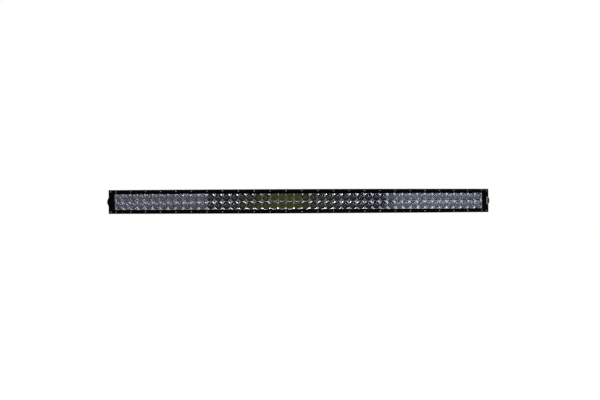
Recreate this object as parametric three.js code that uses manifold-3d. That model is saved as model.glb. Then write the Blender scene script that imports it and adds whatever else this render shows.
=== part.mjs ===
// A 50 inch double-row LED light bar, gently curved so that its light fans out to both sides.
//
// Frame: X runs along the bar, the light shines towards -Y, +Z is up, lengths are millimetres.
// The bar stands on its underside, with the origin at the bottom centre of its box.
// Long pieces are drawn straight and then bent onto the arc. A place on the bar is given by
// s, the distance along the front of the bezel, d, the depth behind it, and z, the height
// above the middle of the bar.

import * as THREE from 'three';
import { mergeVertices } from 'three/addons/utils/BufferGeometryUtils.js';
import Module from 'manifold-3d';

const wasm = await Module();
wasm.setup();

// ---------------------------------------------------------------- driving dimensions

const FRONT_RADIUS = 2350;
const BAR_LENGTH = 1254;
const BAR_HEIGHT = 77;
const BAR_DEPTH = 70;
const HALF_LENGTH = BAR_LENGTH / 2;
const HALF_HEIGHT = BAR_HEIGHT / 2;
const GAP = 0.3;

// Light cells: two rows of reflector cups, in flat modules of four columns.
const CELL_PITCH = 25.2;
const CELL_ROWS = 2;
const MODULE_COLUMNS = 4;
const MODULE_COUNT = 12;
const FLOOD_MODULES_PER_END = 3;
const MODULE_PITCH = CELL_PITCH * MODULE_COLUMNS;

// Every long piece has its bends at the same stations, so that neighbours stay parallel.
const ARC_SEGMENTS = 12;
const GRID_HALF_LENGTH = 606;

// Bezel: a frame with a bevelled window, held by screws in two rows.
const BEZEL_THICKNESS = 10;
const BEZEL_EDGE_RADIUS = 3.5;
const BEZEL_END_CHAMFER = 2.4;
const WINDOW_HALF_LENGTH = 608.8;
const WINDOW_HALF_HEIGHT = 25;
const WINDOW_BEVEL_DEPTH = 3.2;
const WINDOW_BEVEL_HEIGHT = 3;
const WINDOW_BEVEL_LENGTH = 4.2;
const BEZEL_SCREW_PITCH = 50;
const BEZEL_SCREW_INTERVALS = 24;
const BEZEL_SCREW_ROW = 32.5;
const CORNER_SCREW_STATION = 618.5;
const BEZEL_HOLE_RADIUS = 1.6;

// Lens and its gasket, in a pocket behind the bezel's window.
const LENS_FRONT = 4.2;
const LENS_THICKNESS = 3;
const LENS_HALF_LENGTH = 612.2;
const LENS_HALF_HEIGHT = 28.6;
const LENS_POCKET_MARGIN = 0.45;
const GASKET_OPENING = { halfLength: 609.5, halfHeight: 26.1 };

// Housing: a finned extrusion with a trough for the light cells and a duct for the drivers.
const HOUSING_FRONT = BEZEL_THICKNESS + GAP;
const HOUSING_HALF_LENGTH = 612.4;
const TROUGH_HALF_HEIGHT = 25.8;
const WEB_FRONT = 28.8;
const DUCT_FRONT = 32;
const DUCT_BACK = 48.5;
const DUCT_HALF_HEIGHT = 22;
const DUCT_WALL = 2.5;
const BACK_WALL = DUCT_BACK + DUCT_WALL;
const FIN_THICKNESS = 1.8;

// Reflector modules and LED boards.
const REFLECTOR_FRONT = 8.9;
const REFLECTOR_DEPTH = 17.5;
const REFLECTOR_HALF_LENGTH = 49.6;
const REFLECTOR_HALF_HEIGHT = 25.5;
const END_FLANGE = { length: 5, thickness: 2 };
const SPOT_CUP = { mouth: 12.1, middle: 9.0, throat: 4 };
const FLOOD_CUP = { mouth: 12.1, middle: 10.4, throat: 5.2 };
const CUP_SIDES = 8;
const BOARD_FRONT = 26.8;
const BOARD_THICKNESS = 1.6;
const LED_SIZE = 3.5;
const LED_HEIGHT = 1.5;

// End caps, the brackets' pivots, and the brackets.
const CAP_THICKNESS = 13;
const CAP_WALL = 6;
const CAP_POCKET = { front: 15, back: 59, halfHeight: 19.5 };
const PIVOT_DEPTH = 23;
const PIVOT_BOSS_RADIUS = 12.5;
const PIVOT_BOSS_HEIGHT = 4;
const PIVOT_BOLT_RADIUS = 3.9;
const PIVOT_BORE_DEPTH = 9;
const BRACKET_THICKNESS = 4;
const BRACKET_HALF_WIDTH = 13.5;
const BRACKET_REACH = 68;
const BRACKET_FOOT_LENGTH = 34;
const BRACKET_BEND_RADIUS = 6;
const SLOT_HALF_WIDTH = 4.25;
const SLOT_HALF_LENGTH = 8;
const SLOT_FROM_ARM = 15;
const CAP_SCREW_PLACES = [[28.5, 33.5], [54.8, 25], [28.5, -33.5], [54.8, -25]];

// Fittings on the back, near the middle.
const GLAND = { station: 0, pocket: 12.8, hole: 6.1, thread: 5.8, bore: 4.6 };
const VENT = { station: 120, pocket: 9.6, hole: 4.3, thread: 4 };
const FITTING_FLOOR = BACK_WALL + 0.2;

// The outline of the bar's end, from the bezel to the back: depth and height of the upper half.
const END_OUTLINE = [
  [HOUSING_FRONT, HALF_HEIGHT], [38, HALF_HEIGHT], [58, 31.5], [66, 27.5], [BAR_DEPTH, 22],
];

// ---------------------------------------------------------------- materials

const finish = (color, roughness, metalness) =>
  new THREE.MeshStandardMaterial({ color, roughness, metalness });

const blackPowderCoat = finish(0x101113, 0.55, 0.2);
const blackAluminium = finish(0x131416, 0.5, 0.4);
const blackSteel = finish(0x0d0d0e, 0.5, 0.3);
const stainless = finish(0xb4b6b8, 0.3, 1);
const chromePlastic = finish(0xc9ccd2, 0.08, 1);
const floodChrome = finish(0xbfc3ca, 0.2, 1);
const clearPlastic = finish(0xe8eef2, 0.05, 0);
const whiteBoard = finish(0xe6e6df, 0.5, 0);
const blackRubber = finish(0x161616, 0.85, 0);
const blackNylon = finish(0x18181a, 0.6, 0);
const pottedCase = finish(0x23252a, 0.7, 0);
const satinSilver = finish(0xc6c8ca, 0.35, 0.9);

// ---------------------------------------------------------------- solids and booleans

// Merges shared corners, drops collapsed triangles and turns the faces outwards.
function weld(geometry) {
  const bare = new THREE.BufferGeometry();
  bare.setAttribute('position', geometry.getAttribute('position').clone());
  if (geometry.index) bare.setIndex(geometry.index.clone());
  const merged = mergeVertices(bare, 1e-3);
  const corners = merged.index.array;
  const kept = [];
  for (let i = 0; i < corners.length; i += 3) {
    const [a, b, c] = [corners[i], corners[i + 1], corners[i + 2]];
    if (a !== b && b !== c && c !== a) kept.push(a, b, c);
  }
  merged.setIndex(signedVolume(merged, kept) < 0 ? kept.reverse() : kept);
  return merged;
}

function signedVolume(geometry, corners) {
  const place = geometry.getAttribute('position');
  const [a, b, c] = [new THREE.Vector3(), new THREE.Vector3(), new THREE.Vector3()];
  let sum = 0;
  for (let i = 0; i < corners.length; i += 3) {
    a.fromBufferAttribute(place, corners[i]);
    b.fromBufferAttribute(place, corners[i + 1]);
    c.fromBufferAttribute(place, corners[i + 2]);
    sum += a.dot(b.cross(c));
  }
  return sum / 6;
}

function toSolid(geometry) {
  const welded = weld(geometry);
  const vertProperties = new Float32Array(welded.getAttribute('position').array);
  const triVerts = new Uint32Array(welded.index.array);
  return new wasm.Manifold(new wasm.Mesh({ numProp: 3, vertProperties, triVerts }));
}

function toGeometry(solid) {
  const mesh = solid.getMesh();
  const geometry = new THREE.BufferGeometry();
  geometry.setAttribute('position', new THREE.BufferAttribute(mesh.vertProperties, 3));
  geometry.setIndex(new THREE.BufferAttribute(mesh.triVerts, 1));
  return geometry;
}

// Starts from one geometry, joins the added ones and then cuts the removed ones.
function carve(base, { add = [], cut = [], keep = [] }) {
  let solid = toSolid(base);
  for (const other of add) solid = solid.add(toSolid(other));
  for (const other of keep) solid = solid.intersect(toSolid(other));
  for (const other of cut) solid = solid.subtract(toSolid(other));
  return toGeometry(solid);
}

// ---------------------------------------------------------------- places on the arc

function bendPoint(s, d, z) {
  const angle = s / FRONT_RADIUS;
  const radius = FRONT_RADIUS - d;
  return new THREE.Vector3(radius * Math.sin(angle), FRONT_RADIUS - radius * Math.cos(angle), z);
}

// A frame on the arc whose x runs along the bar, y into its depth and z up.
function arcMatrix(s, d, z) {
  const turn = new THREE.Matrix4().makeRotationZ(s / FRONT_RADIUS);
  return turn.setPosition(bendPoint(s, d, z));
}

function onArc(geometry, s, d, z) {
  return geometry.applyMatrix4(arcMatrix(s, d, z));
}

function arcStations(halfLength) {
  const grid = [];
  for (let i = 0; i <= ARC_SEGMENTS; i += 1) {
    grid.push(GRID_HALF_LENGTH * (2 * i / ARC_SEGMENTS - 1));
  }
  return [-halfLength, ...grid, halfLength];
}

// A closed outline, always anticlockwise, which is what the extrusion's holes rely on.
function toShape(points) {
  const corners = points.map(([x, y]) => new THREE.Vector2(x, y));
  if (THREE.ShapeUtils.isClockWise(corners)) corners.reverse();
  return new THREE.Shape(corners);
}

// Mirrors an upper half outline about the middle of the bar and closes it.
const mirrored = (half) => [...half, ...half.map(([d, z]) => [d, -z]).reverse()];

// Runs a section of depth and height through the stations and bends it onto the arc.
// adjust may move a corner before the bend: it takes and gives { s, d, z }.
function bentExtrusion(outline, stations, { holes = [], adjust = (corner) => corner } = {}) {
  const shape = toShape(outline);
  shape.holes = holes.map(toShape);
  const steps = stations.length - 1;
  const geometry = new THREE.ExtrudeGeometry(shape, { depth: steps, steps, bevelEnabled: false });
  const place = geometry.getAttribute('position');
  for (let i = 0; i < place.count; i += 1) {
    const station = stations[Math.round(place.getZ(i))];
    const corner = adjust({ s: station, d: place.getX(i), z: place.getY(i) });
    const bent = bendPoint(corner.s, corner.d, corner.z);
    place.setXYZ(i, bent.x, bent.y, bent.z);
  }
  return geometry;
}

function bentBlock(front, back, halfHeight, halfLength) {
  const outline = mirrored([[back, halfHeight], [front, halfHeight]]);
  return bentExtrusion(outline, arcStations(halfLength));
}

// ---------------------------------------------------------------- round pieces

// A cylinder along the depth of the bar, from one depth to another, in a frame on the arc.
function depthCylinder(radius, from, to, sides) {
  const geometry = new THREE.CylinderGeometry(radius, radius, to - from, sides);
  return geometry.translate(0, (from + to) / 2, 0);
}

// A cylinder along the bar, from one outward distance to another, on the side given.
function lengthCylinder(radius, from, to, sides, side) {
  const geometry = new THREE.CylinderGeometry(radius, radius, to - from, sides);
  return geometry.translate(0, (from + to) / 2, 0).rotateZ(-side * Math.PI / 2);
}

// A turned piece whose profile is a list of radius and distance along its axis.
function turned(profile, sides) {
  return new THREE.LatheGeometry(profile.map(([r, y]) => new THREE.Vector2(r, y)), sides);
}

function addMesh(parent, name, geometry, material) {
  const mesh = new THREE.Mesh(weld(geometry), material);
  mesh.name = name;
  parent.add(mesh);
  return mesh;
}

// ---------------------------------------------------------------- housing

// Height of the bar's outline at a depth, between the corners of the end outline.
function outlineHeight(depth) {
  const next = END_OUTLINE.findIndex(([d]) => d >= depth);
  const [d0, z0] = END_OUTLINE[Math.max(next - 1, 0)];
  const [d1, z1] = END_OUTLINE[next];
  return d1 === d0 ? z0 : z0 + (z1 - z0) * (depth - d0) / (d1 - d0);
}

function housingOutline() {
  const chamfer = 0.5;
  const slot = { half: 1.5, depth: 11 };
  const troughWall = TROUGH_HALF_HEIGHT + DUCT_WALL;
  const ductWall = DUCT_HALF_HEIGHT + DUCT_WALL;
  const screwRib = { from: 25.5, to: 31.5, root: 30.5 };
  const half = [
    [WEB_FRONT, TROUGH_HALF_HEIGHT],
    [HOUSING_FRONT, TROUGH_HALF_HEIGHT],
    [HOUSING_FRONT, BEZEL_SCREW_ROW - slot.half],
    [HOUSING_FRONT + slot.depth, BEZEL_SCREW_ROW - slot.half],
    [HOUSING_FRONT + slot.depth, BEZEL_SCREW_ROW + slot.half],
    [HOUSING_FRONT, BEZEL_SCREW_ROW + slot.half],
    [HOUSING_FRONT, HALF_HEIGHT - chamfer],
    [HOUSING_FRONT + chamfer, HALF_HEIGHT],
    [HOUSING_FRONT + slot.depth + 2, HALF_HEIGHT],
    [HOUSING_FRONT + slot.depth + 2, screwRib.root],
    [screwRib.from, screwRib.root],
    [screwRib.from, HALF_HEIGHT],
    [screwRib.to, HALF_HEIGHT],
    [screwRib.to, troughWall],
  ];
  for (const start of [35.5, 40.5, 45.5]) {
    const end = start + FIN_THICKNESS;
    half.push([start, ductWall], [start, outlineHeight(start)], [end, outlineHeight(end)], [end, ductWall]);
  }
  half.push([49.8, ductWall], [49.8, 28.4], [60, 28.4], [60, 21.6], [BACK_WALL, 21.6]);
  for (const [middle, tip] of [[15.8, 69], [9.5, BAR_DEPTH], [3.2, BAR_DEPTH]]) {
    const [upper, lower] = [middle + FIN_THICKNESS / 2, middle - FIN_THICKNESS / 2];
    half.push([BACK_WALL, upper], [tip, upper], [tip, lower], [BACK_WALL, lower]);
  }
  return mirrored(half);
}

function housing() {
  const duct = mirrored([[DUCT_FRONT, DUCT_HALF_HEIGHT], [DUCT_BACK, DUCT_HALF_HEIGHT]]);
  const extrusion = bentExtrusion(housingOutline(), arcStations(HOUSING_HALF_LENGTH), { holes: [duct] });
  const fittings = [
    onArc(depthCylinder(GLAND.pocket, FITTING_FLOOR, BAR_DEPTH + 5, 16), GLAND.station, 0, 0),
    onArc(depthCylinder(GLAND.hole, DUCT_BACK - 3, BACK_WALL + 3, 12), GLAND.station, 0, 0),
    onArc(depthCylinder(VENT.pocket, FITTING_FLOOR, BAR_DEPTH + 5, 12), VENT.station, 0, 0),
    onArc(depthCylinder(VENT.hole, DUCT_BACK - 3, BACK_WALL + 3, 10), VENT.station, 0, 0),
  ];
  const screwHoles = [-1, 1].flatMap((side) => CAP_SCREW_PLACES.map(([d, z]) =>
    onArc(lengthCylinder(2.05, -26, 0, 6, side), side * HALF_LENGTH, d, z)));
  return carve(extrusion, { cut: [...fittings, ...screwHoles] });
}

// ---------------------------------------------------------------- bezel, lens and lens gasket

function bezelScrewStations() {
  const half = BEZEL_SCREW_INTERVALS / 2;
  const row = [];
  for (let i = -half; i <= half; i += 1) row.push(i * BEZEL_SCREW_PITCH);
  return [-CORNER_SCREW_STATION, ...row, CORNER_SCREW_STATION];
}

function bezelSlab() {
  const edge = BEZEL_EDGE_RADIUS;
  const diagonal = edge * (1 - Math.SQRT1_2);
  const outline = mirrored([
    [BEZEL_THICKNESS, HALF_HEIGHT],
    [edge, HALF_HEIGHT],
    [diagonal, HALF_HEIGHT - diagonal],
    [0, HALF_HEIGHT - edge],
  ]);
  const inner = arcStations(HALF_LENGTH - BEZEL_END_CHAMFER);
  const stations = [-HALF_LENGTH, ...inner, HALF_LENGTH];
  const adjust = ({ s, d, z }) => {
    const atEnd = Math.abs(s) === HALF_LENGTH;
    return { s, d: atEnd ? Math.max(d, BEZEL_END_CHAMFER) : d, z };
  };
  return bentExtrusion(outline, stations, { adjust });
}

function windowCutter() {
  const slopeHeight = WINDOW_BEVEL_HEIGHT / WINDOW_BEVEL_DEPTH;
  const slopeLength = WINDOW_BEVEL_LENGTH / WINDOW_BEVEL_DEPTH;
  const outline = mirrored([
    [BEZEL_THICKNESS + 1, WINDOW_HALF_HEIGHT],
    [WINDOW_BEVEL_DEPTH, WINDOW_HALF_HEIGHT],
    [-1, WINDOW_HALF_HEIGHT + slopeHeight * (WINDOW_BEVEL_DEPTH + 1)],
  ]);
  const adjust = ({ s, d, z }) => {
    const atEnd = Math.abs(s) === WINDOW_HALF_LENGTH;
    const spread = atEnd ? Math.max(WINDOW_BEVEL_DEPTH - d, 0) * slopeLength : 0;
    return { s: s + Math.sign(s) * spread, d, z };
  };
  return bentExtrusion(outline, arcStations(WINDOW_HALF_LENGTH), { adjust });
}

function bezel() {
  const pocket = bentBlock(
    LENS_FRONT - GAP,
    BEZEL_THICKNESS + 1,
    LENS_HALF_HEIGHT + LENS_POCKET_MARGIN,
    LENS_HALF_LENGTH + LENS_POCKET_MARGIN,
  );
  const holes = bezelScrewStations().flatMap((s) => [-1, 1].map((row) =>
    onArc(depthCylinder(BEZEL_HOLE_RADIUS, -2, BEZEL_THICKNESS + 2, 6), s, 0, row * BEZEL_SCREW_ROW)));
  return carve(bezelSlab(), { cut: [windowCutter(), pocket, ...holes] });
}

function lens() {
  return bentBlock(LENS_FRONT, LENS_FRONT + LENS_THICKNESS, LENS_HALF_HEIGHT, LENS_HALF_LENGTH);
}

function lensGasket() {
  const front = LENS_FRONT + LENS_THICKNESS + GAP;
  const back = BEZEL_THICKNESS;
  const ring = bentBlock(front, back, LENS_HALF_HEIGHT, LENS_HALF_LENGTH);
  const { halfLength, halfHeight } = GASKET_OPENING;
  const opening = bentBlock(front - 1, back + 1, halfHeight, halfLength);
  return carve(ring, { cut: [opening] });
}

// ---------------------------------------------------------------- reflectors and LED boards

// Middles of a module's cells, along the bar and up.
function cellPlaces() {
  const places = [];
  for (let column = 0; column < MODULE_COLUMNS; column += 1) {
    for (let row = 0; row < CELL_ROWS; row += 1) {
      const x = (column - (MODULE_COLUMNS - 1) / 2) * CELL_PITCH * (1 - REFLECTOR_FRONT / FRONT_RADIUS);
      const z = (row - (CELL_ROWS - 1) / 2) * CELL_PITCH;
      places.push([x, z]);
    }
  }
  return places;
}

function endFlange(side) {
  const { length, thickness } = END_FLANGE;
  const plate = new THREE.BoxGeometry(length + 1, thickness, 2 * REFLECTOR_HALF_HEIGHT);
  return plate.translate(side * (REFLECTOR_HALF_LENGTH + (length - 1) / 2), thickness / 2, 0);
}

// A block of cups; flangeSide says at which end of the bar a flange closes the row, if any.
function reflector(cup, flangeSide = 0) {
  const block = new THREE.BoxGeometry(
    2 * REFLECTOR_HALF_LENGTH,
    REFLECTOR_DEPTH,
    2 * REFLECTOR_HALF_HEIGHT,
  ).translate(0, REFLECTOR_DEPTH / 2, 0);
  const profile = [
    [0, -1],
    [cup.mouth, -1],
    [cup.mouth, 0],
    [cup.middle, REFLECTOR_DEPTH / 2],
    [cup.throat, REFLECTOR_DEPTH],
    [cup.throat, REFLECTOR_DEPTH + 1],
    [0, REFLECTOR_DEPTH + 1],
  ];
  const cups = cellPlaces().map(([x, z]) =>
    turned(profile, CUP_SIDES).rotateY(Math.PI / CUP_SIDES).translate(x, 0, z));
  return carve(block, { add: flangeSide ? [endFlange(flangeSide)] : [], cut: cups });
}

function ledBoard() {
  const halfHeight = REFLECTOR_HALF_HEIGHT - 0.4;
  const board = new THREE.BoxGeometry(2 * REFLECTOR_HALF_LENGTH - 0.4, BOARD_THICKNESS, 2 * halfHeight);
  const leds = cellPlaces().map(([x, z]) =>
    new THREE.BoxGeometry(LED_SIZE, LED_HEIGHT + 0.5, LED_SIZE)
      .translate(x, (0.5 - LED_HEIGHT) / 2, z));
  return carve(board.translate(0, BOARD_THICKNESS / 2, 0), { add: leds });
}

function addLightModules(bar) {
  const shapes = { spot: reflector(SPOT_CUP), flood: reflector(FLOOD_CUP) };
  const board = ledBoard();
  const counts = { flood: 0, spot: 0 };
  for (let i = 0; i < MODULE_COUNT; i += 1) {
    const isFlood = i < FLOOD_MODULES_PER_END || i >= MODULE_COUNT - FLOOD_MODULES_PER_END;
    const kind = isFlood ? 'flood' : 'spot';
    counts[kind] += 1;
    const module = new THREE.Group();
    const s = (i - (MODULE_COUNT - 1) / 2) * MODULE_PITCH;
    module.applyMatrix4(arcMatrix(s, 0, 0));
    const endSide = (i === MODULE_COUNT - 1) - (i === 0);
    const shape = endSide ? reflector(FLOOD_CUP, endSide) : shapes[kind];
    const name = `${kind}_reflector_${counts[kind]}`;
    const cups = addMesh(module, name, shape, isFlood ? floodChrome : chromePlastic);
    cups.position.y = REFLECTOR_FRONT;
    const leds = addMesh(module, `led_board_${i + 1}`, board, whiteBoard);
    leds.position.y = BOARD_FRONT;
    bar.add(module);
  }
}

// ---------------------------------------------------------------- drivers

// A potted driver: a chamfered case with a mounting ear at each end.
function driver() {
  const size = { length: 170, depth: 9, height: 34, chamfer: 2, ear: 9, earDepth: 2 };
  const [x, y, c] = [size.length / 2, size.depth, size.chamfer];
  const outline = [
    [-x - size.ear, 0], [x + size.ear, 0], [x + size.ear, size.earDepth], [x, size.earDepth],
    [x, y - c], [x - c, y], [c - x, y], [-x, y - c], [-x, size.earDepth], [-x - size.ear, size.earDepth],
  ];
  const options = { depth: size.height, bevelEnabled: false };
  const body = new THREE.ExtrudeGeometry(toShape(outline), options).translate(0, 0, -size.height / 2);
  const holes = [-1, 1].map((end) => depthCylinder(1.8, -1, 4, 8).translate(end * (x + size.ear / 2), 0, 0));
  return carve(body, { cut: holes });
}

// ---------------------------------------------------------------- ends

function capPocketOutline() {
  const { front, back, halfHeight } = CAP_POCKET;
  return mirrored([[front, halfHeight], [back, halfHeight]]);
}

function endCap(side) {
  const inner = side * (HALF_LENGTH - CAP_THICKNESS);
  const stations = side > 0 ? [inner, HALF_LENGTH] : [-HALF_LENGTH, inner];
  const body = bentExtrusion(mirrored(END_OUTLINE), stations);
  const pocketEnd = side * (HALF_LENGTH - CAP_WALL);
  const pocketStart = inner - side;
  const pocketStations = side > 0 ? [pocketStart, pocketEnd] : [pocketEnd, pocketStart];
  const pocket = bentExtrusion(capPocketOutline(), pocketStations);
  const atEnd = (geometry, d, z) => onArc(geometry, side * HALF_LENGTH, d, z);
  const boss = atEnd(lengthCylinder(PIVOT_BOSS_RADIUS, -1, PIVOT_BOSS_HEIGHT, 20, side), PIVOT_DEPTH, 0);
  const boreStart = PIVOT_BOSS_HEIGHT - PIVOT_BORE_DEPTH;
  const bore = lengthCylinder(PIVOT_BOLT_RADIUS + GAP, boreStart, PIVOT_BOSS_HEIGHT + 1, 12, side);
  const screwHoles = CAP_SCREW_PLACES.map(([d, z]) => atEnd(lengthCylinder(2.15, -15, 2, 6, side), d, z));
  const bezelHoles = [-1, 1].map((row) =>
    onArc(depthCylinder(1.55, 8, 20, 6), side * CORNER_SCREW_STATION, 0, row * BEZEL_SCREW_ROW));
  const cut = [pocket, atEnd(bore, PIVOT_DEPTH, 0), ...screwHoles, ...bezelHoles];
  return carve(body, { add: [boss], cut });
}

function endGasket(side) {
  const span = [HOUSING_HALF_LENGTH + GAP, HALF_LENGTH - CAP_THICKNESS - GAP];
  const stations = side > 0 ? span : span.map((s) => -s).reverse();
  const inset = 1;
  const [nearest, farthest] = [HOUSING_FRONT + inset, BAR_DEPTH - inset];
  const outline = END_OUTLINE.map(([d, z]) => [Math.min(Math.max(d, nearest), farthest), z - inset]);
  const sheet = bentExtrusion(mirrored(outline), stations, { holes: [capPocketOutline()] });
  const screwHoles = CAP_SCREW_PLACES.map(([d, z]) =>
    onArc(lengthCylinder(2.3, -17, -10, 6, side), side * HALF_LENGTH, d, z));
  return carve(sheet, { cut: screwHoles });
}

// A button-head screw along its axis: the head's seat is at zero, the tip at the length.
function buttonScrew({ head, height, socket, shank, length }) {
  return turned([
    [0, 0.4 - height],
    [socket, 0.4 - height],
    [socket, -height],
    [head * 0.62, -height],
    [head, -height * 0.45],
    [head, 0],
    [shank, 0],
    [shank, length],
    [0, length],
  ], 6);
}

const BEZEL_SCREW = { head: 2.5, height: 1.5, socket: 1.1, shank: 1.2, length: 17 };
const CAP_SCREW = { head: 3.4, height: 2.1, socket: 1.4, shank: 1.75, length: 23 };

function addEndCapScrews(bar, side, word) {
  CAP_SCREW_PLACES.forEach(([d, z], i) => {
    const screw = buttonScrew(CAP_SCREW).rotateZ(side * Math.PI / 2).translate(side * GAP, 0, 0);
    onArc(screw, side * HALF_LENGTH, d, z);
    addMesh(bar, `end_cap_screw_${word}_${i + 1}`, screw, stainless);
  });
}

function addCornerBezelScrews(bar, side, word) {
  for (const [row, place] of [[1, 'top'], [-1, 'bottom']]) {
    const screw = buttonScrew(BEZEL_SCREW).translate(0, -GAP, 0);
    onArc(screw, side * CORNER_SCREW_STATION, 0, row * BEZEL_SCREW_ROW);
    addMesh(bar, `bezel_screw_${word}_${place}`, screw, stainless);
  }
}

// ---------------------------------------------------------------- brackets

// The distance from the end face to the bracket arm's inner side.
const ARM_INNER = PIVOT_BOSS_HEIGHT + GAP;
const ARM_OUTER = ARM_INNER + BRACKET_THICKNESS;
const WASHER = { radius: 6.6, thickness: 1.4, clearance: 0.2 };
const BOLT_SEAT = ARM_OUTER + WASHER.thickness + 2 * WASHER.clearance;

// The bent strap, seen from above: outward distance and depth behind the pivot.
function bracketOutline() {
  const outline = new THREE.Shape();
  const [footInner, footOuter] = [BRACKET_REACH - BRACKET_THICKNESS, BRACKET_REACH];
  const footEnd = ARM_OUTER - BRACKET_FOOT_LENGTH;
  const inside = BRACKET_BEND_RADIUS - BRACKET_THICKNESS;
  const [bendX, bendY] = [ARM_OUTER - BRACKET_BEND_RADIUS, BRACKET_REACH - BRACKET_BEND_RADIUS];
  outline.moveTo(ARM_INNER, -BRACKET_HALF_WIDTH - 1);
  outline.lineTo(ARM_OUTER, -BRACKET_HALF_WIDTH - 1);
  outline.absarc(bendX, bendY, BRACKET_BEND_RADIUS, 0, Math.PI / 2, false);
  outline.lineTo(footEnd, footOuter);
  outline.lineTo(footEnd, footInner);
  outline.absarc(bendX, bendY, inside, Math.PI / 2, 0, true);
  outline.closePath();
  return outline;
}

// The arm's side outline: round about the pivot and straight to behind the foot.
function armOutline() {
  const outline = new THREE.Shape();
  outline.absarc(0, 0, BRACKET_HALF_WIDTH, Math.PI / 2, 3 * Math.PI / 2, false);
  outline.lineTo(BRACKET_REACH + 1, -BRACKET_HALF_WIDTH);
  outline.lineTo(BRACKET_REACH + 1, BRACKET_HALF_WIDTH);
  outline.closePath();
  return outline;
}

function slotOutline() {
  const outline = new THREE.Shape();
  const reach = SLOT_HALF_LENGTH - SLOT_HALF_WIDTH;
  outline.absarc(-reach, 0, SLOT_HALF_WIDTH, Math.PI / 2, 3 * Math.PI / 2, false);
  outline.absarc(reach, 0, SLOT_HALF_WIDTH, -Math.PI / 2, Math.PI / 2, false);
  outline.closePath();
  return outline;
}

// A bracket about its pivot: x is outward, y backward and z up, then x is turned to its side.
function bracket(side) {
  const extrude = (shape, depth, curveSegments) =>
    new THREE.ExtrudeGeometry(shape, { depth, bevelEnabled: false, curveSegments });
  const strap = extrude(bracketOutline(), 2 * BRACKET_HALF_WIDTH, 4)
    .translate(0, 0, -BRACKET_HALF_WIDTH);
  const arm = extrude(armOutline(), 80, 10)
    .rotateY(Math.PI / 2)
    .rotateX(Math.PI / 2)
    .translate(-60, 0, 0);
  const slot = extrude(slotOutline(), 20, 5)
    .rotateX(-Math.PI / 2)
    .translate(ARM_INNER - SLOT_FROM_ARM, BRACKET_REACH - 12, 0);
  const bore = lengthCylinder(PIVOT_BOLT_RADIUS + GAP, 0, 20, 12, 1);
  const whole = carve(strap, { keep: [arm], cut: [slot, bore] });
  return whole.scale(side, 1, 1);
}

function springWasher(side) {
  const { radius, thickness, clearance } = WASHER;
  const inner = PIVOT_BOLT_RADIUS + GAP;
  const profile = [[inner, 0], [radius, 0], [radius, thickness], [inner, thickness], [inner, 0]];
  return turned(profile, 12).rotateZ(-side * Math.PI / 2).translate(side * (ARM_OUTER + clearance), 0, 0);
}

function pivotBolt(side) {
  const seat = BOLT_SEAT;
  const tip = PIVOT_BOSS_HEIGHT - PIVOT_BORE_DEPTH + 0.5;
  const profile = [
    [0, tip],
    [PIVOT_BOLT_RADIUS - 0.6, tip],
    [PIVOT_BOLT_RADIUS, tip + 0.8],
    [PIVOT_BOLT_RADIUS, seat],
    [6.5, seat],
    [6.3, seat + 1.8],
    [4.4, seat + 3.4],
    [2.4, seat + 3.4],
    [2.4, seat + 1.2],
    [0, seat + 1.2],
  ];
  return turned(profile, 12).rotateZ(-side * Math.PI / 2);
}

function addEnd(bar, side, word) {
  addMesh(bar, `end_cap_${word}`, endCap(side), blackPowderCoat);
  addMesh(bar, `end_cap_gasket_${word}`, endGasket(side), blackRubber);
  addEndCapScrews(bar, side, word);
  addCornerBezelScrews(bar, side, word);
  const pivot = new THREE.Group();
  pivot.applyMatrix4(arcMatrix(side * HALF_LENGTH, PIVOT_DEPTH, 0));
  addMesh(pivot, `mounting_bracket_${word}`, bracket(side), blackSteel);
  addMesh(pivot, `spring_washer_${word}`, springWasher(side), stainless);
  addMesh(pivot, `pivot_bolt_${word}`, pivotBolt(side), stainless);
  bar.add(pivot);
}

// ---------------------------------------------------------------- fittings on the back

function addCableGland(bar) {
  const seat = FITTING_FLOOR + GAP;
  const gland = new THREE.Group();
  gland.applyMatrix4(arcMatrix(GLAND.station, 0, 0));
  const { bore, thread } = GLAND;
  const body = turned([
    [bore, DUCT_BACK - 3], [thread, DUCT_BACK - 3], [thread, seat], [11, seat], [11, seat + 5],
    [7, seat + 5], [7, seat + 6.5], [bore, seat + 6.5], [bore, DUCT_BACK - 3],
  ], 6);
  const nutSeat = seat + 6.8;
  const nut = turned([
    [6.1, nutSeat], [10.4, nutSeat], [10.4, nutSeat + 8], [7.8, nutSeat + 12],
    [6.1, nutSeat + 12], [6.1, nutSeat],
  ], 6);
  const seal = turned([
    [3.2, nutSeat + 1], [4.9, nutSeat + 1], [4.9, nutSeat + 13], [3.2, nutSeat + 13], [3.2, nutSeat + 1],
  ], 12);
  addMesh(gland, 'cable_gland_body', body, blackNylon);
  addMesh(gland, 'cable_gland_nut', nut, blackNylon);
  addMesh(gland, 'cable_gland_seal', seal, blackRubber);
  bar.add(gland);
}

function breatherVent() {
  const seat = FITTING_FLOOR + GAP;
  const { thread } = VENT;
  const profile = [
    [0, DUCT_BACK - 2], [thread, DUCT_BACK - 2], [thread, seat], [8, seat], [8, seat + 4],
    [6.6, seat + 6.5], [4.4, seat + 6.5], [4.4, seat + 5.4], [0, seat + 5.4],
  ];
  return onArc(turned(profile, 12), VENT.station, 0, 0);
}

// ---------------------------------------------------------------- assembly

function blankBadge() {
  const plate = new THREE.BoxGeometry(6.4, 0.8, 26);
  return onArc(plate.translate(0, -0.4 - GAP, 0), HALF_LENGTH - 5.8, 0, 0);
}

function addDrivers(bar) {
  for (const [side, word] of [[-1, 'left'], [1, 'right']]) {
    const mesh = addMesh(bar, `led_driver_${word}`, driver(), pottedCase);
    mesh.applyMatrix4(arcMatrix(side * 250, 35.5, 0));
  }
}

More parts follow.
